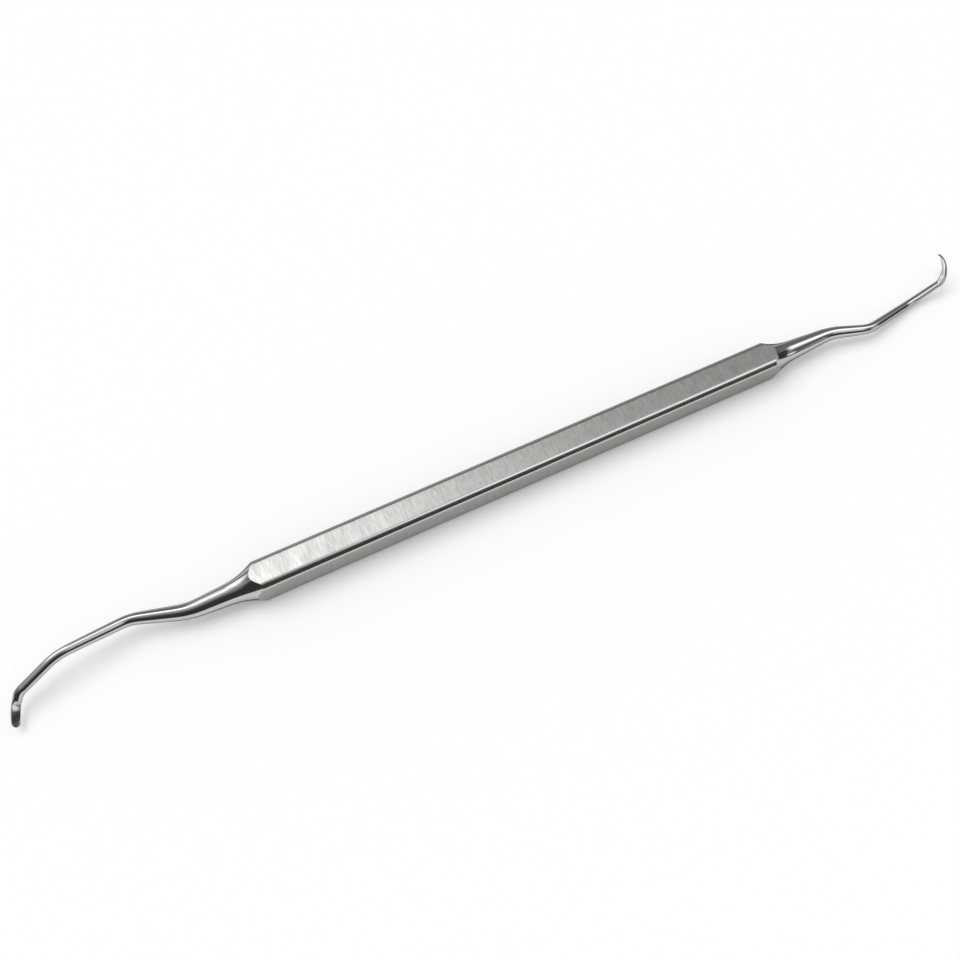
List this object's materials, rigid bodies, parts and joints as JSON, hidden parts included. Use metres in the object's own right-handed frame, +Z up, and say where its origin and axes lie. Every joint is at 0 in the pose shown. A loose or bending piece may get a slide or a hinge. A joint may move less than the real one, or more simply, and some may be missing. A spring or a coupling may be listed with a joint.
{
  "type": "dental scaler",
  "caption": "Double-ended hand scaler: square handle with broken corners, turned shoulders, bent tapering shanks and small curved blades with rounded toes.",
  "frame": {"origin": "middle of the flat that the handle lies on", "axes": "+X along the handle towards the far end, +Z up, square to the flat that the handle lies on"},
  "size_m": [0.1706, 0.0105, 0.0052],
  "materials": {
    "steel": "stainless steel, brushed across the flats of the handle and polished on the shanks and blades"
  },
  "bodies": {
    "root": {"scaler": "steel"}
  },
  "joints": []
}
